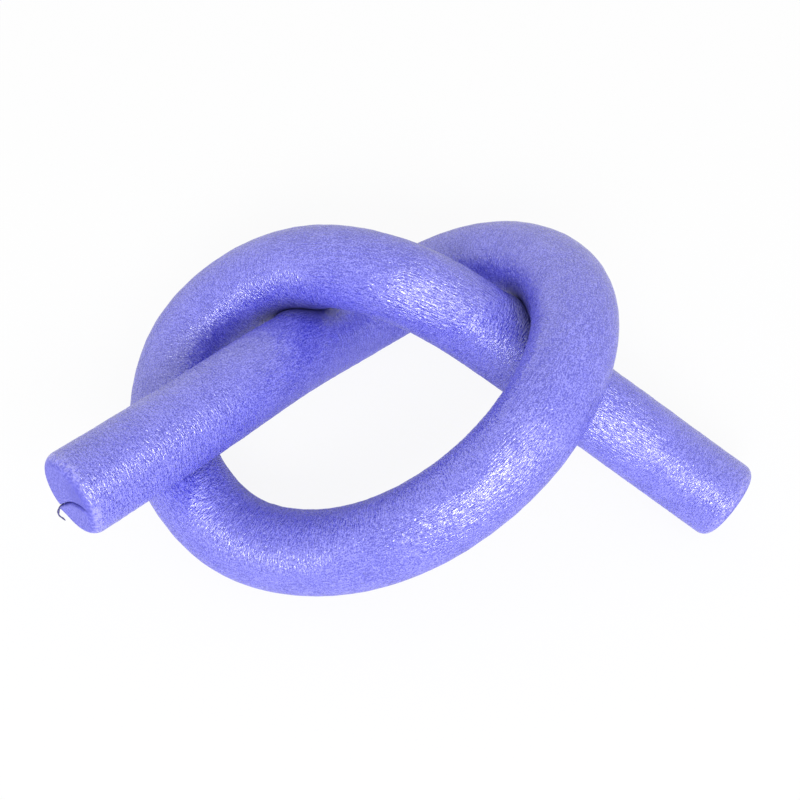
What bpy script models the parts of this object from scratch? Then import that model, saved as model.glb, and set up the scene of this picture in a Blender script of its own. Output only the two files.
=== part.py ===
"""A pool noodle: one round bar of closed-cell foam, tied in an overhand knot and set down flat.

The bar's middle line is a smooth curve through places picked by hand, in shares of the bar's
diameter, and both tails run on straight until the bar has its full length. Where two strands press
on each other, each gives way by half, and where the knot stands, the foam is pressed flat. A curved
knife slit runs into the left cut end, and a thin sliver of foam hangs from the slit's lower end.

Metres, +Z up, the origin on the floor under the middle of the box round the noodle.
"""

import bmesh
import bpy
import numpy as np
from mathutils import Vector
from mathutils.bvhtree import BVHTree

# The bar
DIAMETER = 0.064
LENGTH = 1.628
RIM_RADIUS = 0.008
FOOT_DEPTH = 0.0005
STRAND_GAP = 0.0008
RADIUS = DIAMETER / 2
SIDES = 28
RING_STEP_SHARE = 0.17
RIM_STEPS = 3

# The knot: places on the middle line from the left end, (right, back, up) in diameters
KNOT_ROUTE_SHARE = [
    (-3.48, -1.88, 2.03), (-2.63, -1.08, 1.79), (-1.92, -0.37, 1.56), (-1.33, 0.32, 1.22),
    (-0.73, 1.11, 0.62), (-0.03, 1.70, 0.44), (0.71, 1.94, 0.73), (1.42, 1.67, 1.29),
    (1.91, 0.89, 1.91), (1.92, -0.09, 2.24), (1.53, -0.99, 2.19), (0.89, -1.62, 1.81),
    (0.05, -2.00, 1.33), (-0.90, -2.02, 0.79), (-1.81, -1.72, 0.49), (-2.41, -1.21, 0.59),
    (-2.74, -0.45, 0.71), (-2.65, 0.70, 0.76), (-1.97, 1.36, 1.09), (-1.12, 1.32, 1.66),
    (-0.31, 0.98, 2.00), (0.55, 0.66, 1.83), (1.53, 0.25, 1.27), (2.45, -0.36, 0.99),
    (3.30, -0.85, 0.62), (3.87, -1.21, 0.42),
]
# The share of any length beyond the route's own that the left tail takes
LEFT_TAIL_SHARE = 0.28
# The three feet, each between two numbered places of the route
FEET_BETWEEN = ((2, 8), (12, 16), (20, len(KNOT_ROUTE_SHARE)))
SAMPLES_PER_PLACE = 60
SETTLE_ROUNDS = 6
PRESS_ROUNDS = 8
# Strands this many diameters apart along the bar are different strands
APART_SHARE = 3.0

# The knife slit in the left end, (side, up) from the middle of the face in radii
SLIT_WIDTH = 0.0012
SLIT_DEPTH = 0.004
SLIT_ROUTE_SHARE = [
    (0.50, -0.97), (0.30, -0.65), (0.12, -0.36), (-0.04, -0.12), (-0.19, 0.07), (-0.37, 0.22),
    (-0.57, 0.32), (-0.78, 0.36),
]
CUT_OVERRUN = 0.001

# The sliver, (outward, away from the bar, along the rim) from its root in its own lengths
SLIVER_LENGTH = 0.0135
SLIVER_THICKNESS = 0.001
SLIVER_SEAT_GAP = 0.0003
SLIVER_ROOT_SHARE = (0.43, -0.90)
SLIVER_ROUTE_SHARE = [
    (0.00, 0.00, 0.00), (0.20, 0.07, 0.08), (0.34, 0.15, 0.22), (0.37, 0.19, 0.40),
    (0.30, 0.21, 0.53), (0.26, 0.21, 0.68),
]
SLIVER_TAPER_SHARE = (1.0, 0.9, 1.0, 0.85, 0.9, 0.5)

FOAM_COLOUR = (0.26, 0.25, 0.80, 1.0)
SLIVER_COLOUR = (0.10, 0.10, 0.24, 1.0)
FOAM_ROUGHNESS = 0.55


def clear_scene():
    for obj in list(bpy.data.objects):
        bpy.data.objects.remove(obj, do_unlink=True)


def foam_material(name, colour):
    """A matte plastic foam in one colour."""
    material = bpy.data.materials.new(name)
    material.use_nodes = True
    shader = material.node_tree.nodes["Principled BSDF"]
    shader.inputs["Base Color"].default_value = colour
    shader.inputs["Roughness"].default_value = FOAM_ROUGHNESS
    shader.inputs["Metallic"].default_value = 0
    return material


def add_object(name, mesh, material):
    obj = bpy.data.objects.new(name, mesh)
    bpy.context.scene.collection.objects.link(obj)
    mesh.materials.append(material)
    return obj


def unit(vectors):
    return vectors / np.linalg.norm(vectors, axis=-1, keepdims=True)


def natural_spline(points, at):
    """The cubic through the points, one step of `at` apart, with no bend at either end."""
    count = len(points)
    system = np.diag(np.full(count, 4.0)) + np.eye(count, k=1) + np.eye(count, k=-1)
    bend = np.zeros_like(points)
    bend[1:-1] = 6 * (points[2:] - 2 * points[1:-1] + points[:-2])
    system[0], system[-1] = np.eye(count)[0], np.eye(count)[-1]
    second = np.linalg.solve(system, bend)
    left = np.clip(at.astype(int), 0, count - 2)
    right_part = (at - left)[:, None]
    left_part = 1 - right_part
    return (
        left_part * points[left]
        + right_part * points[left + 1]
        + (left_part**3 - left_part) * second[left] / 6
        + (right_part**3 - right_part) * second[left + 1] / 6
    )


def distance_along(points):
    steps = np.linalg.norm(np.diff(points, axis=0), axis=1)
    return np.concatenate([[0], np.cumsum(steps)])


def full_length_line():
    """The middle line at its full length: (points, the place number of each on the route)."""
    route = np.array(KNOT_ROUTE_SHARE) * DIAMETER
    last = len(route) - 1
    places = np.linspace(0, last, last * SAMPLES_PER_PLACE + 1)
    points = natural_spline(route, places)
    spare = LENGTH - distance_along(points)[-1]
    left_end = points[0] + unit(points[0] - points[1]) * LENGTH
    right_end = points[-1] + unit(points[-1] - points[-2]) * LENGTH
    points = np.concatenate([[left_end], points, [right_end]])
    places = np.concatenate([[places[0]], places, [places[-1]]])
    along = distance_along(points)
    start = LENGTH - spare * LEFT_TAIL_SHARE
    wanted = start + np.linspace(0, LENGTH, len(points))
    points = np.stack([np.interp(wanted, along, points[:, axis]) for axis in range(3)], axis=1)
    return points, np.interp(wanted, along, places)


def set_down(points, places):
    """Tilts and lowers the line until the bar's three feet all reach the floor."""
    along = distance_along(points)
    inside = (along > RIM_RADIUS) & (along < LENGTH - RIM_RADIUS)
    for _ in range(SETTLE_ROUNDS):
        tangents = unit(np.gradient(points, axis=0))
        underside = points[:, 2] - RADIUS * np.sqrt(1 - tangents[:, 2] ** 2)
        feet = []
        for first, last in FEET_BETWEEN:
            stretch = np.flatnonzero(inside & (places >= first) & (places <= last))
            lowest = stretch[underside[stretch].argmin()]
            feet.append(Vector((*points[lowest, :2], underside[lowest])))
        normal = (feet[1] - feet[0]).cross(feet[2] - feet[0])
        if normal.z < 0:
            normal.negate()
        level = np.array(normal.rotation_difference(Vector((0, 0, 1))).to_matrix())
        points = points @ level.T
        points[:, 2] -= np.mean([(level @ np.array(foot))[2] for foot in feet]) + FOOT_DEPTH
    return points


def frames_along(points):
    """Tangent, side and top at each point, the side carried on with no twist."""
    tangents = unit(np.gradient(points, axis=0))
    sides = np.zeros_like(points)
    side = np.cross((0, 0, 1), tangents[0])
    for i, tangent in enumerate(tangents):
        side = side - tangent * (side @ tangent)
        side = side / np.linalg.norm(side)
        sides[i] = side
    return tangents, sides, np.cross(tangents, sides)


def ring_places():
    """Where each ring lies along the bar, and its radius: rounded rims and an even middle."""
    turns = np.linspace(0, np.pi / 2, RIM_STEPS + 1)
    rim_along = RIM_RADIUS * (1 - np.cos(turns))
    rim_radii = RADIUS - RIM_RADIUS * (1 - np.sin(turns))
    span = LENGTH - 2 * RIM_RADIUS
    steps = round(span / (RING_STEP_SHARE * DIAMETER))
    middle = RIM_RADIUS + span * np.arange(1, steps) / steps
    along = np.concatenate([rim_along, middle, LENGTH - rim_along[::-1]])
    radii = np.concatenate([rim_radii, np.full(len(middle), RADIUS), rim_radii[::-1]])
    return along, radii


def press_strands(rings, centres, ring_along, line, line_along):
    """Moves each point that is too near another strand towards its own middle line.

    Two equal strands that press on each other meet on the surface halfway between their middle
    lines. Half the gap is taken from each.
    """
    other = np.abs(ring_along[:, None] - line_along[None]) > APART_SHARE * DIAMETER
    for ring, centre, is_other in zip(rings, centres, other):
        strands = line[is_other]
        for _ in range(PRESS_ROUNDS):
            own = np.linalg.norm(ring - centre, axis=1)
            across = np.linalg.norm(ring[:, None] - strands[None], axis=2).min(axis=1)
            too_far = np.clip(own + STRAND_GAP - across, 0, None) / 2
            ring -= unit(ring - centre) * too_far[:, None]
    return rings


def bar_rings(line):
    """Every ring of the bar as an array (rings, sides, 3), strands already pressed."""
    ring_along, radii = ring_places()
    line_along = distance_along(line)
    line_along *= LENGTH / line_along[-1]
    frames = [line, *frames_along(line)]
    centres, tangents, sides, tops = (
        np.stack([np.interp(ring_along, line_along, values[:, axis]) for axis in range(3)], axis=1)
        for values in frames
    )
    turns = 2 * np.pi * np.arange(SIDES) / SIDES
    spokes = (
        np.cos(turns)[None, :, None] * unit(sides)[:, None]
        + np.sin(turns)[None, :, None] * unit(tops)[:, None]
    )
    rings = centres[:, None] + spokes * radii[:, None, None]
    return press_strands(rings, centres, ring_along, line, line_along)


def make_noodle(rings, material):
    """Skins the rings, closes both ends and presses the feet flat on the floor."""
    bm = bmesh.new()
    loops = [[bm.verts.new(point) for point in ring] for ring in rings]
    for low, high in zip(loops, loops[1:]):
        for i in range(SIDES):
            after = (i + 1) % SIDES
            bm.faces.new((low[i], low[after], high[after], high[i]))
    bm.faces.new(loops[0][::-1])
    bm.faces.new(loops[-1])
    cut = bmesh.ops.bisect_plane(
        bm, geom=bm.verts[:] + bm.edges[:] + bm.faces[:], plane_no=(0, 0, -1), clear_outer=True
    )
    floor_edges = [part for part in cut["geom_cut"] if isinstance(part, bmesh.types.BMEdge)]
    bmesh.ops.edgenet_fill(bm, edges=floor_edges)
    bmesh.ops.recalc_face_normals(bm, faces=bm.faces[:])
    mesh = bpy.data.meshes.new("foam_noodle")
    bm.to_mesh(mesh)
    bm.free()
    mesh.shade_smooth()
    return add_object("foam_noodle", mesh, material)


def end_frame(line):
    """The left cut face: its middle, outward normal, level side and top."""
    outward = unit(line[0] - line[1])
    top = unit(np.cross(outward, np.cross((0, 0, 1), outward)))
    return line[0], outward, np.cross(outward, top), top


def slit_cutter(line):
    """A blade as thick as the slit, bent along its route and standing in the left face."""
    middle, outward, side, top = end_frame(line)
    route = np.array(SLIT_ROUTE_SHARE) * RADIUS
    across = unit(np.gradient(route, axis=0))[:, ::-1] * (1, -1) * SLIT_WIDTH / 2
    outline = np.concatenate([route + across, (route - across)[::-1]])
    flat = middle + outline[:, :1] * side + outline[:, 1:] * top
    bm = bmesh.new()
    base = bm.faces.new([bm.verts.new(point) for point in flat - outward * SLIT_DEPTH])
    raised = bmesh.ops.extrude_face_region(bm, geom=[base])
    moved = [part for part in raised["geom"] if isinstance(part, bmesh.types.BMVert)]
    bmesh.ops.translate(bm, verts=moved, vec=outward * (SLIT_DEPTH + CUT_OVERRUN))
    bmesh.ops.recalc_face_normals(bm, faces=bm.faces[:])
    mesh = bpy.data.meshes.new("slit_cutter")
    bm.to_mesh(mesh)
    bm.free()
    cutter = bpy.data.objects.new("slit_cutter", mesh)
    bpy.context.scene.collection.objects.link(cutter)
    cutter.hide_render = True
    cutter.display_type = "WIRE"
    return cutter


def cut_slit(noodle, cutter):
    cut = noodle.modifiers.new("slit", "BOOLEAN")
    cut.operation = "DIFFERENCE"
    cut.solver = "EXACT"
    cut.object = cutter


def make_sliver(line, material):
    """A tapering curl of foam that hangs from the rim where the slit runs out."""
    middle, outward, side, top = end_frame(line)
    root_side, root_up = SLIVER_ROOT_SHARE
    radial = unit(root_side * side + root_up * top)
    rimwards = np.cross(outward, radial)
    rim_centre = middle + radial * (RADIUS - RIM_RADIUS) - outward * RIM_RADIUS
    lean = unit(radial + outward)
    root = rim_centre + lean * (RIM_RADIUS + SLIVER_SEAT_GAP + SLIVER_THICKNESS / 2)
    curve = bpy.data.curves.new("foam_sliver", "CURVE")
    curve.dimensions = "3D"
    curve.bevel_depth = SLIVER_THICKNESS / 2
    curve.bevel_resolution = 1
    curve.use_fill_caps = True
    spline = curve.splines.new("POLY")
    spline.points.add(len(SLIVER_ROUTE_SHARE) - 1)
    for point, place, taper in zip(spline.points, SLIVER_ROUTE_SHARE, SLIVER_TAPER_SHARE):
        out, away, along_rim = np.array(place) * SLIVER_LENGTH
        point.co = (*(root + outward * out + radial * away + rimwards * along_rim), 1)
        point.radius = taper
    return add_object("foam_sliver", curve, material)


def strand_gap(rings, ring_along):
    """The least distance from a point of the bar to the faces of another of its strands."""
    least = np.inf
    chunk = round(APART_SHARE / RING_STEP_SHARE)
    for first in range(0, len(rings) - 1, chunk):
        some = rings[first : first + chunk + 1]
        corners = [Vector(point) for point in some.reshape(-1, 3)]
        starts = [(r * SIDES, i, (i + 1) % SIDES) for r in range(len(some) - 1) for i in range(SIDES)]
        faces = [(r + i, r + after, r + SIDES + after, r + SIDES + i) for r, i, after in starts]
        tree = BVHTree.FromPolygons(corners, faces)
        middle = ring_along[first : first + chunk + 1].mean()
        reach = (APART_SHARE + chunk * RING_STEP_SHARE / 2) * DIAMETER
        for ring in rings[np.abs(ring_along - middle) > reach]:
            least = min(least, *(tree.find_nearest(Vector(point))[3] for point in ring))
    return least


clear_scene()
middle_line = set_down(*full_length_line())
all_rings = bar_rings(middle_line)
low, high = all_rings.min(axis=(0, 1)), all_rings.max(axis=(0, 1))
to_middle = np.array(((low[0] + high[0]) / 2, (low[1] + high[1]) / 2, 0))
middle_line = middle_line - to_middle
all_rings = all_rings - to_middle

noodle = make_noodle(all_rings, foam_material("noodle_foam", FOAM_COLOUR))
cut_slit(noodle, slit_cutter(middle_line))
make_sliver(middle_line, foam_material("sliver_foam", SLIVER_COLOUR))
print("least gap between strands: %.5f m" % strand_gap(all_rings, ring_places()[0]))
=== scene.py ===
from math import pi, radians

import bpy
import numpy as np
from mathutils import Euler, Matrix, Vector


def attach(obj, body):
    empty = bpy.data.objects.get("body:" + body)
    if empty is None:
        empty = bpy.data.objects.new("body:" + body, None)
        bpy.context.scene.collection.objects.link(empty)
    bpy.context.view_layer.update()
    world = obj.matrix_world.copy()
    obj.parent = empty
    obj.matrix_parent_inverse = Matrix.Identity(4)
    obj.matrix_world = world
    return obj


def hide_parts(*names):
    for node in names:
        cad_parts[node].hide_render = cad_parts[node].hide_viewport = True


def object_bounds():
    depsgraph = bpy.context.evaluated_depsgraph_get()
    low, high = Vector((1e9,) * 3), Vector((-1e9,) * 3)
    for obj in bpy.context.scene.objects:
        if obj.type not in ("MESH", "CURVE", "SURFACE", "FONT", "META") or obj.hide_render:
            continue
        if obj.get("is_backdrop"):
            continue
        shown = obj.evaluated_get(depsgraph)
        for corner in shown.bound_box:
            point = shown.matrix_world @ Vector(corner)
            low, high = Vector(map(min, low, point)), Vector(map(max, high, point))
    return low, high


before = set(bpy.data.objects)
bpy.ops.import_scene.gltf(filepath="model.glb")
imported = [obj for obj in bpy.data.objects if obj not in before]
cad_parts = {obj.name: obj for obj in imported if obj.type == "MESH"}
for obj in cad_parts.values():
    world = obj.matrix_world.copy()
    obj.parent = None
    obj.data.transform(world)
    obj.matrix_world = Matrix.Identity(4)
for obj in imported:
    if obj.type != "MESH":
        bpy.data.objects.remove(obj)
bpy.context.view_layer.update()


# The camera. It stands on the side of the knot's big lower loop and looks down on it at sixty
# degrees, as someone standing at a table would. Its place was worked out from the outline.
CAMERA_PLACE = (-0.0293, -0.4772, 0.8806)
CAMERA_TURN = (30.053, -0.910, -0.493)
CAMERA_LENS = 55.3

camera_data = bpy.data.cameras.new("camera")
camera_data.lens = CAMERA_LENS
camera_data.sensor_width = 36
camera_data.clip_start = 0.01
camera = bpy.data.objects.new("camera", camera_data)
camera.location = CAMERA_PLACE
camera.rotation_euler = Euler([radians(turn) for turn in CAMERA_TURN], "XYZ")
bpy.context.scene.collection.objects.link(camera)
bpy.context.scene.camera = camera
bpy.context.scene.view_settings.view_transform = "Standard"


# The studio: a white room that gives twice as much light from the level of the floor as from
# overhead, three soft boxes on the viewer's side, and a white floor. The camera sees room and floor
# as close to pure white, but right under the foam the floor is mirrored as dark as its shadow.
ROOM_LIGHT_ABOVE = 0.64
ROOM_LIGHT_LOW = 1.26
# The height of a direction, 0 level and 1 overhead, from which on the room is at its dimmest
ROOM_DIM_FROM = 0.6
# Each box: its place, its side and its power in watts
SOFT_BOXES = (
    ((-0.42, -2.24, 1.95), 0.95, 30.0),
    ((0.42, -2.24, 1.95), 0.70, 12.0),
    ((1.20, -1.95, 1.95), 0.70, 10.0),
)
FLOOR_SIDE = 12.0
FLOOR_WHITE = 0.93
FLOOR_ROUGHNESS = 0.9
FLOOR_GLOW_SHARE = 0.90
# How far away the floor starts to glow in a mirror, and where it glows in full
FLOOR_GLOW_FROM = (0.25, 0.80)


class Shade:
    """One output of a node in a material or the world. Sums, differences and products that are
    written with it add Math nodes."""

    def __init__(self, tree, socket=None):
        self.tree = tree
        self.socket = socket

    def add(self, kind, settings=None, inputs=None, output=0):
        """Any node: its settings first, then the value or the link of each input."""
        node = self.tree.nodes.new(kind)
        for name, value in (settings or {}).items():
            setattr(node, name, value)
        self.feed(node, inputs or {})
        return Shade(self.tree, node.outputs[output])

    def feed(self, node, inputs):
        for name, value in inputs.items():
            if isinstance(value, Shade):
                self.tree.links.new(value.socket, node.inputs[name])
            else:
                node.inputs[name].default_value = value

    def maths(self, operation, *values):
        """A Math node on one or two values."""
        return self.add("ShaderNodeMath", {"operation": operation}, dict(enumerate(values)))

    def __add__(self, other):
        return self.maths("ADD", self, other)

    def __sub__(self, other):
        return self.maths("SUBTRACT", self, other)

    def __rsub__(self, other):
        return self.maths("SUBTRACT", other, self)

    def __mul__(self, other):
        return self.maths("MULTIPLY", self, other)

    def most(self, other):
        return self.maths("MAXIMUM", self, other)

    def rise(self, low, high):
        """0 up to low, 1 from high on, and an even S between them."""
        return self.add(
            "ShaderNodeMapRange", {"interpolation_type": "SMOOTHSTEP"},
            {"Value": self, "From Min": low, "From Max": high},
        )

    def between(self, first, second):
        """The value that goes from first to second as this one goes from 0 to 1."""
        return self.add("ShaderNodeMix", {"data_type": "FLOAT"}, {0: self, 2: first, 3: second})

    def colours(self, first, second):
        """The colour that goes from first to second as this value goes from 0 to 1."""
        return self.add(
            "ShaderNodeMix", {"data_type": "RGBA"}, {0: self, 6: first, 7: second}, output=2
        )


def new_material(name):
    """An empty material: (itself, its principled shader, the start of its expressions)."""
    material = bpy.data.materials.new(name)
    material.use_nodes = True
    return material, material.node_tree.nodes["Principled BSDF"], Shade(material.node_tree)


def put_in_scene(name, mesh, material):
    """The new object that shows this mesh with this material."""
    piece = bpy.data.objects.new(name, mesh)
    bpy.context.scene.collection.objects.link(piece)
    mesh.materials.append(material)
    return piece


def seen_straight(shade):
    """1 where the camera, a mirror or a glass looks at the surface, 0 where light falls on it."""
    paths = [
        shade.add("ShaderNodeLightPath", output=name)
        for name in ("Is Camera Ray", "Is Glossy Ray", "Is Transmission Ray")
    ]
    return paths[0].most(paths[1]).most(paths[2])


world = bpy.data.worlds.new("room")
world.use_nodes = True
bpy.context.scene.world = world
room = Shade(world.node_tree)
background = world.node_tree.nodes["Background"]
direction = room.add("ShaderNodeTexCoord", output="Generated")
up = room.add("ShaderNodeSeparateXYZ", inputs={0: direction}, output="Z")
room_light = up.rise(0, ROOM_DIM_FROM).between(ROOM_LIGHT_LOW, ROOM_LIGHT_ABOVE)
room_strength = seen_straight(room).between(room_light, 1)
room.feed(background, {"Color": (1, 1, 1, 1), "Strength": room_strength})

floor_mesh = bpy.data.meshes.new("floor")
half = FLOOR_SIDE / 2
floor_mesh.from_pydata(
    [(-half, -half, 0), (half, -half, 0), (half, half, 0), (-half, half, 0)], [], [(0, 1, 2, 3)]
)
floor_material, floor_shader, floor_shade = new_material("floor_white")
floor_shade.feed(
    floor_shader, {"Base Color": (FLOOR_WHITE,) * 3 + (1,), "Roughness": FLOOR_ROUGHNESS}
)
glow = floor_shade.add("ShaderNodeEmission", inputs={"Color": (1, 1, 1, 1), "Strength": 1})
seen_from = floor_shade.add("ShaderNodeLightPath", output="Ray Length")
floor_look = floor_shade.add(
    "ShaderNodeMixShader",
    inputs={
        0: seen_straight(floor_shade) * seen_from.rise(*FLOOR_GLOW_FROM) * FLOOR_GLOW_SHARE,
        1: Shade(floor_shade.tree, floor_shader.outputs[0]),
        2: glow,
    },
)
floor_shade.feed(floor_shade.tree.nodes["Material Output"], {"Surface": floor_look})
floor = put_in_scene("floor", floor_mesh, floor_material)
floor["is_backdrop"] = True

for place, side, power in SOFT_BOXES:
    box_light = bpy.data.lights.new("soft_box", "AREA")
    box_light.shape = "SQUARE"
    box_light.size = side
    box_light.energy = power
    soft_box = bpy.data.objects.new("soft_box", box_light)
    soft_box.location = place
    soft_box.rotation_mode = "QUATERNION"
    soft_box.rotation_quaternion = soft_box.location.to_track_quat("Z", "Y")
    bpy.context.scene.collection.objects.link(soft_box)


# The noodle: one round solid bar of closed-cell polyethylene foam, extruded with a thin smooth
# skin, cut off square at both ends and tied in one loose overhand knot. A knife slit runs into the
# left end, whose lower lip stands a little proud.
DIAMETER = 0.064
LENGTH = 1.628
RADIUS = DIAMETER / 2
RIM_RADIUS = 0.008
FOOT_DEPTH = 0.0005
# The skin lies this far inside the solid bar, so that its ripples stay inside the solid's box
SKIN_INSET = 0.0005
FACE_FLAT = RADIUS - SKIN_INSET - RIM_RADIUS
# Places on the middle line from the left end, (right, back, up) in diameters
KNOT_ROUTE_SHARE = [
    (-3.48, -1.88, 2.03), (-2.63, -1.08, 1.79), (-1.92, -0.37, 1.56), (-1.33, 0.32, 1.22),
    (-0.73, 1.11, 0.62), (-0.03, 1.70, 0.44), (0.71, 1.94, 0.73), (1.42, 1.67, 1.29),
    (1.91, 0.89, 1.91), (1.92, -0.09, 2.24), (1.53, -0.99, 2.19), (0.89, -1.62, 1.81),
    (0.05, -2.00, 1.33), (-0.90, -2.02, 0.79), (-1.81, -1.72, 0.49), (-2.41, -1.21, 0.59),
    (-2.74, -0.45, 0.71), (-2.65, 0.70, 0.76), (-1.97, 1.36, 1.09), (-1.12, 1.32, 1.66),
    (-0.31, 0.98, 2.00), (0.55, 0.66, 1.83), (1.53, 0.25, 1.27), (2.45, -0.36, 0.99),
    (3.30, -0.85, 0.62), (3.87, -1.21, 0.42),
]
# The left tail's part of the length that the route leaves over, and the places with a foot between
LEFT_TAIL_SHARE = 0.28
FEET_BETWEEN = ((2, 8), (12, 16), (20, len(KNOT_ROUTE_SHARE)))
SAMPLES_PER_PLACE = 60
SETTLE_ROUNDS = 6
# The skin's fineness: points round the bar, and three times as many round the slit end, from this
# far off the middle of its face
BAR_SIDES = 200
FINE_SIDES = 3 * BAR_SIDES
FINE_FROM = 0.009
ROW_STEP = 0.001
FINE_STEP = 0.00025
# Strands that press on each other: how far apart along the bar two places are at least, and how
# far apart in space at most, in diameters, the gap between the skins, the rounding of the contact's
# edge, and the swell beside it
APART_SHARE = 3.0
NEAR_SHARE = 1.15
STRAND_GAP = 0.0001
PRESS_SOFTNESS = 0.0006
SWELL_HEIGHT = 0.0022
SWELL_REACH = 0.0070
# How near to a contact the skin has no ripples, and how near it gets painted crease shade
CALM_REACH = 0.006
CREASE_SHADE_REACH = 0.011
# The strain from which on the skin has streaks along the bar and no ridges across it
STREAKS_FROM_STRAIN = 0.09
# The slit in the left end, (side, up) in radii
SLIT_ROUTE_SHARE = [
    (0.50, -0.97), (0.30, -0.65), (0.12, -0.36), (-0.04, -0.12), (-0.19, 0.07), (-0.37, 0.22),
    (-0.57, 0.32), (-0.78, 0.36),
]
SLIT_STEPS = 60
SLIT_DEPTH = 0.0036
SLIT_HALF_WIDTH = 0.00055
# The part of the slit's line from which on it closes, and from which on its lip sinks
SLIT_CLOSES_FROM = 0.80
LIP_SINKS_FROM = 0.85
LIP_HEIGHT = 0.0011
LIP_REACH = 0.0055
# The upper side of the slit sinks by this share of what the lower one rises
UPPER_SIDE_SHARE = 0.35
FACE_CROWN = 0.0012
# The shares of the rim's curve between which the sawn face turns into skin
CUT_ENDS_BETWEEN = (0.25, 0.75)
# Ripples of the skin: height, and length across and along the wrinkles
WRINKLE_HEIGHT = 0.00004
WRINKLE_SPACING = 0.0045
WRINKLE_LENGTH = 0.014
LUMP_HEIGHT = 0.00006
LUMP_SIZE = 0.016
RIPPLE_SPREAD = 0.18
WRINKLE_SEED = 11
# How far along the bar from its ends the ripples come up, and the left face's own shape fades
RIPPLES_RISE = (RIM_RADIUS, 4 * RIM_RADIUS)
FACE_SHAPE_FADES = (0.5 * RIM_RADIUS, 2 * RIM_RADIUS)


def unit(vectors):
    """Each vector divided by its length."""
    return vectors / np.linalg.norm(vectors, axis=-1, keepdims=True)


def even_step(values, low, high):
    """0 up to low, 1 from high on, and the S of 3t^2 - 2t^3 between them."""
    share = np.clip((values - low) / (high - low), 0, 1)
    return share * share * (3 - 2 * share)


def natural_spline(points, at):
    """The cubic through the points, one step of `at` apart, with no bend at either end."""
    count = len(points)
    system = np.diag(np.full(count, 4.0)) + np.eye(count, k=1) + np.eye(count, k=-1)
    bend = np.zeros_like(points)
    bend[1:-1] = 6 * (points[2:] - 2 * points[1:-1] + points[:-2])
    system[0], system[-1] = np.eye(count)[0], np.eye(count)[-1]
    second = np.linalg.solve(system, bend)
    left = np.clip(at.astype(int), 0, count - 2)
    right_part = (at - left)[:, None]
    left_part = 1 - right_part
    return (
        left_part * points[left]
        + right_part * points[left + 1]
        + (left_part**3 - left_part) * second[left] / 6
        + (right_part**3 - right_part) * second[left + 1] / 6
    )


def distance_along(points):
    """For each point, the summed lengths of the steps that lead to it."""
    steps = np.linalg.norm(np.diff(points, axis=0), axis=1)
    return np.concatenate([[0], np.cumsum(steps)])


def full_length_line():
    """The middle line: the spline through the knot's places, then straight on at both ends.

    Returns its points and the place number of each on the route.
    """
    route = np.array(KNOT_ROUTE_SHARE) * DIAMETER
    last = len(route) - 1
    places = np.linspace(0, last, last * SAMPLES_PER_PLACE + 1)
    points = natural_spline(route, places)
    spare = LENGTH - distance_along(points)[-1]
    left_end = points[0] + unit(points[0] - points[1]) * LENGTH
    right_end = points[-1] + unit(points[-1] - points[-2]) * LENGTH
    points = np.concatenate([[left_end], points, [right_end]])
    places = np.concatenate([[places[0]], places, [places[-1]]])
    along = distance_along(points)
    wanted = LENGTH - spare * LEFT_TAIL_SHARE + np.linspace(0, LENGTH, len(points))
    points = np.stack([np.interp(wanted, along, points[:, axis]) for axis in range(3)], axis=1)
    return points, np.interp(wanted, along, places)


def turn_upright(normal):
    """The matrix that turns the unit vector `normal` to +Z: 1 + K + K^2 / (1 + its height)."""
    across = np.cross(normal, (0, 0, 1))
    cross = np.cross(np.eye(3), across)
    return np.eye(3) + cross + cross @ cross / (1 + normal[2])


def set_down(points, places):
    """Tilts and lowers the line until the bar's three feet all reach the floor."""
    along = distance_along(points)
    inside = (along > RIM_RADIUS) & (along < LENGTH - RIM_RADIUS)
    for _ in range(SETTLE_ROUNDS):
        tangents = unit(np.gradient(points, axis=0))
        underside = points[:, 2] - RADIUS * np.sqrt(1 - tangents[:, 2] ** 2)
        feet = []
        for first, last in FEET_BETWEEN:
            stretch = np.flatnonzero(inside & (places >= first) & (places <= last))
            lowest = stretch[underside[stretch].argmin()]
            feet.append((*points[lowest, :2], underside[lowest]))
        feet = np.array(feet)
        normal = unit(np.cross(feet[1] - feet[0], feet[2] - feet[0]))
        level = turn_upright(normal * np.sign(normal[2]))
        points = points @ level.T
        points[:, 2] -= (feet @ level.T)[:, 2].mean() + FOOT_DEPTH
    return points


def frames_along(points):
    """Tangent, side and top at each point, the side carried on with no twist."""
    tangents = unit(np.gradient(points, axis=0))
    sides = np.zeros_like(points)
    side = np.cross((0, 0, 1), tangents[0])
    for i, tangent in enumerate(tangents):
        side = side - tangent * (side @ tangent)
        side = side / np.linalg.norm(side)
        sides[i] = side
    return tangents, sides, np.cross(tangents, sides)


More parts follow.
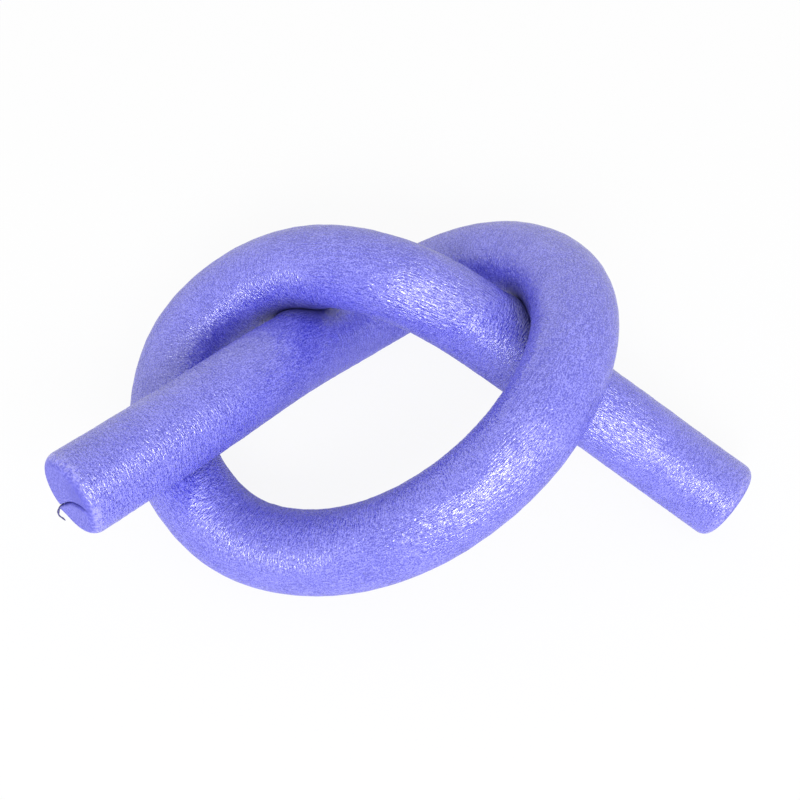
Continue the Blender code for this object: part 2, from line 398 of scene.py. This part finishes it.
def bar_rows():
    """Every row of points round the bar: how far along it, its reach, its count of points and the
    way on the skin from the middle of the left face. And how many rows are the left end's and the
    right end's.

    The rows go from the middle of the left face out, round a quarter circle, along the bar, round
    the other quarter circle and in to the middle of the right face.
    """
    bend = RIM_RADIUS * pi / 2
    fine = np.arange(FINE_STEP * 2, FACE_FLAT, FINE_STEP)
    coarse = np.arange(ROW_STEP, FACE_FLAT, ROW_STEP)

    def end(face, steps):
        turns = np.linspace(0, pi / 2, steps + 1)
        along = np.concatenate([np.zeros(len(face)), RIM_RADIUS * (1 - np.cos(turns))])
        reach = np.concatenate([face, FACE_FLAT + RIM_RADIUS * np.sin(turns)])
        way = np.concatenate([face, FACE_FLAT + RIM_RADIUS * turns])
        return along, reach, way

    left_along, left_reach, left_way = end(fine, round(bend / FINE_STEP))
    right_along, right_reach, right_way = end(coarse, round(bend / ROW_STEP))
    steps = round((LENGTH - 2 * RIM_RADIUS) / ROW_STEP)
    middle = RIM_RADIUS + (LENGTH - 2 * RIM_RADIUS) * np.arange(1, steps) / steps
    along = np.concatenate([left_along, middle, LENGTH - right_along[::-1]])
    middle_reach = np.full(len(middle), FACE_FLAT + RIM_RADIUS)
    reach = np.concatenate([left_reach, middle_reach, right_reach[::-1]])
    way = np.concatenate([left_way, left_way[-1] + middle - RIM_RADIUS, right_way[::-1]])
    points = np.full(len(along), BAR_SIDES)
    points[: len(left_along)][left_way >= FINE_FROM] = FINE_SIDES
    return along, reach, points, way, len(left_along), len(right_along)


def free_reach(centre, spokes, strand):
    """How far a spoke may reach before it is nearer to the other strand than to its own.

    For a point r out along a unit spoke u from the centre c, the other line's point q is r + gap
    away where r = (|c - q|^2 - gap^2) / (2 (gap + u.(q - c))). The nearest such r holds.
    """
    away = strand - centre
    facing = 2 * (STRAND_GAP + spokes @ away.T)
    squares = (away**2).sum(axis=1) - STRAND_GAP**2
    reach = np.where(facing > 0, squares / np.maximum(facing, 1e-9), np.inf)
    return reach.min(axis=1)


def ripples(seed, rows, spacing_along, spacing_around, wave_along, wave_around):
    """Even random ripples on the unrolled skin, about 1 high: white noise that keeps only the
    frequencies near an ellipse, by exp(-(size - 1)^2 / spread), where size is 1 on the ellipse."""
    noise = np.random.default_rng(seed).standard_normal((rows, BAR_SIDES))
    along = np.fft.fftfreq(rows, spacing_along)[:, None] * wave_along
    around = np.fft.fftfreq(BAR_SIDES, spacing_around)[None] * wave_around
    size = np.hypot(along, around)
    kept = np.exp(-((size - 1) ** 2) / RIPPLE_SPREAD)
    field = np.fft.ifft2(np.fft.fft2(noise) * kept).real
    return field / field.std()


def slit_groove(side, up):
    """How far the left end's face moves outwards at (side, up), and the slit's painted shade there, 0
    to 1.

    The groove is -depth exp(-(gap / half width)^2) at the distance gap from the slit's line. The
    lip under it is height exp(-(gap / reach)^2), and the upper side sinks by a share of that.
    """
    route = np.array(SLIT_ROUTE_SHARE) * RADIUS
    line = natural_spline(route, np.linspace(0, len(route) - 1, SLIT_STEPS + 1))
    starts, steps = line[:-1], np.diff(line, axis=0)
    place = np.stack([side, up], axis=1)[:, None] - starts
    share = np.clip((place * steps).sum(axis=2) / (steps**2).sum(axis=1), 0, 1)
    offset = place - share[..., None] * steps
    distance = np.linalg.norm(offset, axis=2)
    nearest = distance.argmin(axis=1)
    rows = np.arange(len(nearest))
    gap = distance[rows, nearest]
    step, aside = steps[nearest], offset[rows, nearest]
    below = step[:, 0] * aside[:, 1] - step[:, 1] * aside[:, 0] > 0
    reached = (nearest + share[rows, nearest]) / SLIT_STEPS
    # The groove's profile, which also masks the slit's painted shade
    shade = np.exp(-((gap / SLIT_HALF_WIDTH) ** 2)) * (1 - even_step(reached, SLIT_CLOSES_FROM, 1))
    lip = LIP_HEIGHT * np.exp(-((gap / LIP_REACH) ** 2)) * np.where(below, 1, -UPPER_SIDE_SHARE)
    lip = lip * even_step(gap, 0, 3 * SLIT_HALF_WIDTH) * (1 - even_step(reached, LIP_SINKS_FROM, 1))
    return lip - SLIT_DEPTH * shade, shade


line = set_down(*full_length_line())
line_along = distance_along(line)
line_along *= LENGTH / line_along[-1]
tangents, sides, tops = frames_along(line)
bend = np.gradient(tangents, line_along, axis=0)

row_along, row_reach, row_points, row_way, left_rows, right_rows = bar_rows()
bar = slice(left_rows - 1, len(row_along) - right_rows + 1)
row_of = np.repeat(np.arange(len(row_along)), row_points)
first_of = np.cumsum(row_points) - row_points
number = np.arange(len(row_of)) - first_of[row_of]
turn = 2 * pi * number / row_points[row_of]
along = row_along[row_of]
reach = row_reach[row_of]


def at(places, values):
    """The line's values at these distances along it, each straight between two of its points."""
    return np.stack([np.interp(places, line_along, values[:, axis]) for axis in range(3)], axis=1)


centres = at(along, line)
sideways, upright = unit(at(along, sides)), unit(at(along, tops))
spokes = np.cos(turn)[:, None] * sideways + np.sin(turn)[:, None] * upright
strain = -(spokes * at(along, bend)).sum(axis=1) * reach
stretch = even_step(strain, 0, STREAKS_FROM_STRAIN)

# Ripples, fading out at the ends and where the skin is pressed
bar_count = bar.stop - bar.start
on_bar = (row_of >= bar.start) & (row_of < bar.stop) & (row_points[row_of] == BAR_SIDES)
wave_lengths = (
    (WRINKLE_SPACING, WRINKLE_LENGTH), (WRINKLE_LENGTH, WRINKLE_SPACING), (LUMP_SIZE, LUMP_SIZE),
)
waves = [
    ripples(WRINKLE_SEED + i, bar_count, ROW_STEP, 2 * pi * RADIUS / BAR_SIDES, *lengths)
    for i, lengths in enumerate(wave_lengths)
]
across_wave, lengthwise_wave, lumps = (
    wave[row_of[on_bar] - bar.start, number[on_bar]] for wave in waves
)
lift = np.zeros(len(along))
lift[on_bar] = (
    WRINKLE_HEIGHT * ((1 - stretch[on_bar]) * across_wave + stretch[on_bar] * lengthwise_wave)
    + LUMP_HEIGHT * lumps
)
end_distance = np.minimum(along, LENGTH - along)
lift *= even_step(end_distance, *RIPPLES_RISE)

# Strands that press on each other give way by half, and swell a little beside the contact
limit = np.full(len(along), np.inf)
for row in range(bar.start, bar.stop):
    other = line[np.abs(line_along - row_along[row]) > APART_SHARE * DIAMETER]
    centre = centres[first_of[row]]
    near = other[((other - centre) ** 2).sum(axis=1) < (NEAR_SHARE * DIAMETER) ** 2]
    if len(near):
        of_row = slice(first_of[row], first_of[row] + row_points[row])
        limit[of_row] = free_reach(centre, spokes[of_row], near)
room_left = limit - reach
reach = reach + lift * even_step(room_left, 0, CALM_REACH)
reach += SWELL_HEIGHT * (1 - even_step(room_left, 0, SWELL_REACH))
reach -= PRESS_SOFTNESS * np.logaddexp(0, (reach - limit) / PRESS_SOFTNESS)
points = centres + spokes * reach[:, None]
low, high = points.min(axis=0), points.max(axis=0)
to_middle = np.array([(low[0] + high[0]) / 2, (low[1] + high[1]) / 2, 0])
points -= to_middle
points[:, 2] = np.maximum(points[:, 2], 0)

# The left end: its crown, its slit and the lip
at_left_end = along < FACE_SHAPE_FADES[1]
outward = -tangents[0]
side_place = (np.cos(turn) * reach)[at_left_end]
up_place = (np.sin(turn) * reach)[at_left_end]
fading = 1 - even_step(along[at_left_end], *FACE_SHAPE_FADES)
moved, shade = slit_groove(side_place, up_place)
crown = FACE_CROWN * (1 - (row_reach[row_of[at_left_end]] / RADIUS) ** 2)
points[at_left_end] += ((moved + crown) * fading)[:, None] * outward
slit_painted_shade = np.zeros(len(along))
slit_painted_shade[at_left_end] = shade * fading


def noodle_faces():
    """Every face but the fans as corners (row, point): quads between equal rows and, where a row
    has a third of the next one's points, four triangles to each of its edges."""
    quads, triangles = [], []
    for row in range(len(row_points) - 1):
        here, there = row_points[row], row_points[row + 1]
        i = np.arange(min(here, there))
        if here == there:
            quads.append(np.stack([
                np.stack([np.full(here, row + step), i + more], axis=1)
                for step, more in ((0, 0), (0, 1), (1, 1), (1, 0))
            ], axis=1))
            continue
        few, many = (row, row + 1) if here < there else (row + 1, row)
        for corners in (
            ((few, 0), (many, 1), (many, 0)),
            ((few, 0), (few, 1), (many, 1)),
            ((few, 1), (many, 2), (many, 1)),
            ((few, 1), (many, 3), (many, 2)),
        ):
            triangle = np.stack([
                np.stack([np.full(len(i), at_row), i * (1 if at_row == few else 3) + more], axis=1)
                for at_row, more in corners
            ], axis=1)
            triangles.append(triangle if few == row else triangle[:, ::-1])
    return np.concatenate(quads), np.concatenate(triangles)


quads, triangles = noodle_faces()
poles = np.array([line[0] + outward * FACE_CROWN, line[-1]]) - to_middle
pole_first = len(points)
i = np.arange(BAR_SIDES)
last_row = len(row_points) - 1
all_points = np.concatenate([points, poles])


def vertex_of(corners):
    """The vertex number of each corner (row, point), where a point past the last is the first."""
    return first_of[corners[..., 0]] + corners[..., 1] % row_points[corners[..., 0]]


# The flat map for a baked picture, in metres
UV_COLUMNS = 3
UV_GAP = 0.004
UV_SIDE = 0.66


def bake_place(corners):
    """Where a corner lies on the flat map, in metres: the bar unrolled and cut in three columns,
    each end a round disc beside them."""
    row, more = corners[..., 0], corners[..., 1]
    turn = 2 * pi * more / row_points[row]
    girth = 2 * pi * RADIUS
    column_rows = bar_count / UV_COLUMNS
    column = np.clip((row[:, :1] - bar.start) // column_rows, 0, UV_COLUMNS - 1)
    height = row_way[row] - row_way[(bar.start + column * column_rows).astype(int)]
    place = np.stack([UV_GAP + column * (girth + UV_GAP) + turn * RADIUS, UV_GAP + height], axis=-1)
    disc = row_way[left_rows - 1]
    above = LENGTH / UV_COLUMNS + 3 * UV_GAP + disc
    on_left = (row < left_rows).all(axis=1)
    on_right = (row >= len(row_points) - right_rows).all(axis=1)
    for on_end, across in ((on_left, UV_GAP + disc), (on_right, 3 * UV_GAP + 3 * disc)):
        way = row_way[row[on_end]]
        place[on_end] = np.stack(
            [across + way * np.cos(turn[on_end]), above + way * np.sin(turn[on_end])], axis=-1
        )
    return place / UV_SIDE


# The fans: each pole with the edges of the row next to it
fan_rows = np.repeat([0, last_row], BAR_SIDES)
fan_turns = np.tile(i, 2)
fan_edges = np.stack([
    np.stack([fan_rows, fan_turns], axis=1), np.stack([fan_rows, fan_turns + 1], axis=1),
], axis=1)
fan_edges[:BAR_SIDES] = fan_edges[:BAR_SIDES, ::-1]
opposite = fan_edges + [0, BAR_SIDES // 2]
fan_poles = pole_first + (fan_rows == last_row)
fans = np.concatenate([fan_poles[:, None], vertex_of(fan_edges)], axis=1)
pole_places = (bake_place(fan_edges)[:, 0] + bake_place(opposite)[:, 0]) / 2
fan_places = np.concatenate([pole_places[:, None], bake_place(fan_edges)], axis=1)

mesh = bpy.data.meshes.new("pool_noodle")
corner_list = np.concatenate([vertex_of(quads).ravel(), vertex_of(triangles).ravel(), fans.ravel()])
three_from = len(quads) * 4
starts = np.concatenate([np.arange(len(quads)) * 4, np.arange(three_from, len(corner_list), 3)])
mesh.vertices.add(len(all_points))
mesh.vertices.foreach_set("co", all_points.astype(np.float32).ravel())
mesh.loops.add(len(corner_list))
mesh.loops.foreach_set("vertex_index", corner_list.astype(np.int32))
mesh.polygons.add(len(starts))
mesh.polygons.foreach_set("loop_start", starts.astype(np.int32))
mesh.update(calc_edges=True)


def add_attribute(name, values, kind="FLOAT"):
    """Stores one value, or one vector, for each vertex, for the material to read."""
    values = np.asarray(values, np.float32)
    attribute = mesh.attributes.new(name, kind, "POINT")
    attribute.data.foreach_set("vector" if kind == "FLOAT_VECTOR" else "value", values.ravel())


pole_zeros = np.zeros(2)
unbent = np.stack([along, np.cos(turn) * row_reach[row_of], np.sin(turn) * row_reach[row_of]], axis=1)
unbent = np.concatenate([unbent, [(0, 0, 0), (LENGTH, 0, 0)]])
end_rows = (row_of < left_rows) | (row_of >= len(row_points) - right_rows)
rolled = np.where(end_rows, np.clip((row_way[row_of] - FACE_FLAT) / (RIM_RADIUS * pi / 2), 0, 1), 1)
add_attribute("unbent", unbent, "FLOAT_VECTOR")
add_attribute("stretch", np.concatenate([stretch, pole_zeros]))
# Painted shade inside the slit
add_attribute("slit", np.concatenate([slit_painted_shade, pole_zeros]))
# Painted shade: the creases where strands press are coloured dark
add_attribute("painted_crease_shade", np.concatenate([1 - even_step(room_left, 0, CREASE_SHADE_REACH), pole_zeros]))
add_attribute("cut", np.concatenate([1 - even_step(rolled, *CUT_ENDS_BETWEEN), pole_zeros + 1]))
add_attribute("end_distance", np.concatenate([end_distance, pole_zeros]))
mesh.shade_smooth()

uv = mesh.uv_layers.new(name="OFBake")
uv_places = np.concatenate([
    bake_place(quads).reshape(-1, 2), bake_place(triangles).reshape(-1, 2), fan_places.reshape(-1, 2),
])
uv.data.foreach_set("uv", uv_places.astype(np.float32).ravel())


# The foam's colours: in the pits and on the ridges of the skin, where the rim is worn, and the
# painted shade in the slit and deep in a crease
FOAM_DEEP = (0.035, 0.033, 0.56, 1)
FOAM_PALE = (0.26, 0.255, 0.97, 1)
FOAM_WORN = (0.52, 0.50, 0.90, 1)
SLIT_PAINTED_SHADE = (0.010, 0.009, 0.28, 1)
CREASE_PAINTED_SHADE = (0.003, 0.002, 0.13, 1)
# Grains, along and around the bar
PEBBLES = (0.0009, 0.0009)
RIDGES_ACROSS = (0.0012, 0.0038)
STREAKS_ALONG = (0.0050, 0.0012)
SAWN_GRAIN = (0.0017, 0.0017)
WORN_SPECKS = (0.0020, 0.0020)
PATCHES = (0.022, 0.022)
# What each grain adds to the relief, and the depth of the whole relief
STREAK_RELIEF = 0.85
PEBBLE_RELIEF = 0.07
SAWN_RELIEF = 0.45
RELIEF_DEPTH = 0.00135
# What each grain adds to the mottling, which follows the relief and so paints shade into its pits
# over the foam's own uneven tone, and the range of the sum from a deep pit to a pale ridge
MOTTLE_RANGE = (0.38, 0.62)
PEBBLE_TONE_AND_PIT_SHADE = 0.65
WRINKLE_PIT_SHADE = 0.25
PATCH_MOTTLE = 0.10
SAWN_MOTTLE = 1.8
SAWN_MOTTLE_FROM = 0.45
# The cut faces are darker: partly the sawn foam's own tone, partly painted shade for a face turned
# from the light
CUT_TONE_AND_SHADE_DARKER_BY = 0.55
# The painted shade on the left face, a darker spot: (side, up) of its middle, and where its fading
# starts and ends
FACE_SHADE_SPOT = (-0.0125, 0.0155)
FACE_SHADE_SPOT_FADES = (0.004, 0.018)
# The worn ring on the rim, in metres from the bar's end: it comes up, then fades
WORN_RISES = (0.0005, 0.003)
WORN_FADES = (0.004, 0.010)
WORN_SPECKS_RANGE = (0.45, 0.62)
# How fully each colour covers the foam's own
WORN_COVER = 0.45
FACE_SHADE_SPOT_COVER = 0.8
SLIT_SHADE_COVER = 0.85
CREASE_SHADE_COVER = 0.95
SKIN_ROUGHNESS = 0.20
CUT_ROUGHNESS = 0.60
CREASE_ROUGHNESS = 0.50
FOAM_IOR = 1.75


def grain(shade, place, size, detail=2.0, roughness=0.5, distortion=0.0):
    """Noise whose grains are as long as `size` says, along and around the bar."""
    along, around = size
    scaled = shade.add(
        "ShaderNodeVectorMath", {"operation": "MULTIPLY"},
        {0: place, 1: (1 / along, 1 / around, 1 / around)},
    )
    return shade.add(
        "ShaderNodeTexNoise", inputs={
            "Vector": scaled, "Scale": 1, "Detail": detail, "Roughness": roughness,
            "Distortion": distortion,
        },
    )


def noodle_foam():
    """Satin foam skin: pebbled all over, with ridges across the bar where it is slack and streaks
    along it where it is stretched, and painted shade in the pits of that relief. The cut ends are
    duller and darker, partly their own tone and partly painted shade, with a worn pale rim. A
    spot of painted shade lies on the left face, and the creases and the slit get painted shade."""
    material, shader, shade = new_material("noodle_foam")

    def measure(name, output="Fac"):
        return shade.add("ShaderNodeAttribute", {"attribute_name": name}, output=output)

    place = measure("unbent", "Vector")
    stretch, cut, end_distance = measure("stretch"), measure("cut"), measure("end_distance")
    painted_crease_shade = measure("painted_crease_shade")
    pebbles = grain(shade, place, PEBBLES, detail=1.0)
    across = grain(shade, place, RIDGES_ACROSS, detail=1.0, distortion=0.5)
    lengthwise = grain(shade, place, STREAKS_ALONG, detail=1.0, distortion=0.5)
    wrinkles = stretch.between(across, lengthwise * STREAK_RELIEF)
    sawn = grain(shade, place, SAWN_GRAIN)
    height = cut.between(wrinkles + pebbles * PEBBLE_RELIEF, sawn * SAWN_RELIEF)
    bump = shade.add(
        "ShaderNodeBump", inputs={"Strength": 1.0, "Distance": RELIEF_DEPTH, "Height": height}
    )
    patches = grain(shade, place, PATCHES)
    # The skin's mottling: its own uneven tone, and painted shade in the pits of the wrinkles and
    # pebbles
    skin_tone_and_pit_shade = pebbles * PEBBLE_TONE_AND_PIT_SHADE + wrinkles * WRINKLE_PIT_SHADE
    mottle = cut.between(skin_tone_and_pit_shade, sawn * SAWN_MOTTLE - SAWN_MOTTLE_FROM) + patches * PATCH_MOTTLE
    # The cut faces darken: partly their own tone, partly painted shade
    paleness = mottle.rise(*MOTTLE_RANGE) * (1 - cut * CUT_TONE_AND_SHADE_DARKER_BY)
    colour = paleness.colours(FOAM_DEEP, FOAM_PALE)
    near_rim = end_distance.rise(*WORN_RISES) * (1 - end_distance.rise(*WORN_FADES))
    specks = grain(shade, place, WORN_SPECKS, detail=3.0, roughness=0.6).rise(*WORN_SPECKS_RANGE)
    colour = (near_rim * specks * WORN_COVER).colours(colour, FOAM_WORN)
    # Painted shade: a darker spot where the left face dips near its rim
    from_shade_spot = shade.add(
        "ShaderNodeVectorMath", {"operation": "DISTANCE"}, {0: place, 1: (0, *FACE_SHADE_SPOT)}, output=1
    )
    colour = ((1 - from_shade_spot.rise(*FACE_SHADE_SPOT_FADES)) * FACE_SHADE_SPOT_COVER).colours(colour, FOAM_DEEP)
    # Painted shade inside the slit
    colour = (measure("slit") * SLIT_SHADE_COVER).colours(colour, SLIT_PAINTED_SHADE)
    # Painted shade deep in the creases
    colour = (painted_crease_shade * CREASE_SHADE_COVER).colours(colour, CREASE_PAINTED_SHADE)
    roughness = cut.between(SKIN_ROUGHNESS, CUT_ROUGHNESS).most(painted_crease_shade * CREASE_ROUGHNESS)
    shade.feed(shader, {
        "Base Color": colour, "Roughness": roughness, "Normal": bump, "IOR": FOAM_IOR,
        "Specular IOR Level": 1.0,
    })
    return material


noodle = put_in_scene("pool_noodle", mesh, noodle_foam())
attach(noodle, "root")
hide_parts("foam_noodle")


# The sliver: a thin curl of foam skin that the knife left hanging from the slit's lower end. It
# is still joined to the rim at its root and tapers to a bent tip.
SLIVER_LENGTH = 0.0135
SLIVER_ROOT_SHARE = (0.43, -0.90)
# (outward, away from the bar, along the rim) from the root, in the sliver's own lengths
SLIVER_ROUTE_SHARE = [
    (-0.04, -0.10, -0.04), (0.00, 0.00, 0.00), (0.20, 0.07, 0.08), (0.34, 0.15, 0.22),
    (0.37, 0.19, 0.40), (0.30, 0.21, 0.57), (0.25, 0.21, 0.77),
]
SLIVER_HALF_WIDTHS = (0.0010, 0.0010, 0.0011, 0.0010, 0.0006, 0.0008, 0.0005)
SLIVER_LEAST_HALF_WIDTH = 0.00002
SLIVER_THICKNESS_SHARE = 0.75
# Its ragged edge: each wave's share of the width, and its turn from one place of the route to the next
SLIVER_WAVES = ((0.12, 5.1), (0.07, 11.3))
SLIVER_END_POWER = 30
SLIVER_ROWS = 72
SLIVER_SIDES = 16
SLIVER_DEEP = (0.045, 0.040, 0.13, 1)
SLIVER_PALE = (0.12, 0.11, 0.30, 1)
SLIVER_SPECKS = (0.0011, 0.0011)
SLIVER_SPECKS_RANGE = (0.35, 0.65)
SLIVER_BUMP_DEPTH = 0.0002
SLIVER_ROUGHNESS = 0.6


def sliver_mesh():
    """An oval carried along the curl, three quarters as thick as it is wide and closed at both
    ends, where its width falls off by sqrt(1 - t^power) for t from -1 to 1 along the curl."""
    out, level, top = outward, sides[0], tops[0]
    root_side, root_up = SLIVER_ROOT_SHARE
    radial = unit(root_side * level + root_up * top)
    rimwards = np.cross(out, radial)
    rim_centre = line[0] - to_middle + radial * (RADIUS - RIM_RADIUS) - out * RIM_RADIUS
    root = rim_centre + unit(radial + out) * RIM_RADIUS
    route = np.array(SLIVER_ROUTE_SHARE) * SLIVER_LENGTH @ np.array([out, radial, rimwards]) + root
    at_rows = np.linspace(0, len(route) - 1, SLIVER_ROWS)
    path = natural_spline(route, at_rows)
    tangents, sides_of, tops_of = frames_along(path)
    widths = np.interp(at_rows, np.arange(len(route)), SLIVER_HALF_WIDTHS)
    widths *= 1 + sum(share * np.sin(at_rows * step) for share, step in SLIVER_WAVES)
    ends = np.sqrt(1 - np.linspace(-1, 1, SLIVER_ROWS) ** SLIVER_END_POWER)
    widths = np.maximum(widths * ends, SLIVER_LEAST_HALF_WIDTH)
    turns = 2 * pi * np.arange(SLIVER_SIDES) / SLIVER_SIDES
    wide = np.cos(turns)[None, :, None] * sides_of[:, None]
    thick = np.sin(turns)[None, :, None] * tops_of[:, None] * SLIVER_THICKNESS_SHARE
    skin = path[:, None] + (wide + thick) * widths[:, None, None]
    i = np.arange(SLIVER_SIDES)
    rows = np.arange(SLIVER_ROWS - 1)[:, None] * SLIVER_SIDES
    after = (i + 1) % SLIVER_SIDES
    next_rows = rows + SLIVER_SIDES
    faces = np.stack([rows + i, rows + after, next_rows + after, next_rows + i], axis=-1)
    first, last = i[::-1].tolist(), (i + (SLIVER_ROWS - 1) * SLIVER_SIDES).tolist()
    made = bpy.data.meshes.new("sliver")
    made.from_pydata(skin.reshape(-1, 3).tolist(), [], faces.reshape(-1, 4).tolist() + [first, last])
    made.update()
    made.shade_smooth()
    return made


def sliver_foam():
    """The same foam, coloured dark violet grey, mottled and matt."""
    material, shader, shade = new_material("sliver_foam")
    place = shade.add("ShaderNodeTexCoord", output="Object")
    specks = grain(shade, place, SLIVER_SPECKS, detail=3.0)
    colour = specks.rise(*SLIVER_SPECKS_RANGE).colours(SLIVER_DEEP, SLIVER_PALE)
    bump = shade.add(
        "ShaderNodeBump", inputs={"Strength": 1.0, "Distance": SLIVER_BUMP_DEPTH, "Height": specks}
    )
    shade.feed(shader, {"Base Color": colour, "Roughness": SLIVER_ROUGHNESS, "Normal": bump})
    return material


sliver = put_in_scene("sliver", sliver_mesh(), sliver_foam())
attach(sliver, "root")
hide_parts("foam_sliver")


# The box round what shows, without the floor.
low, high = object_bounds()
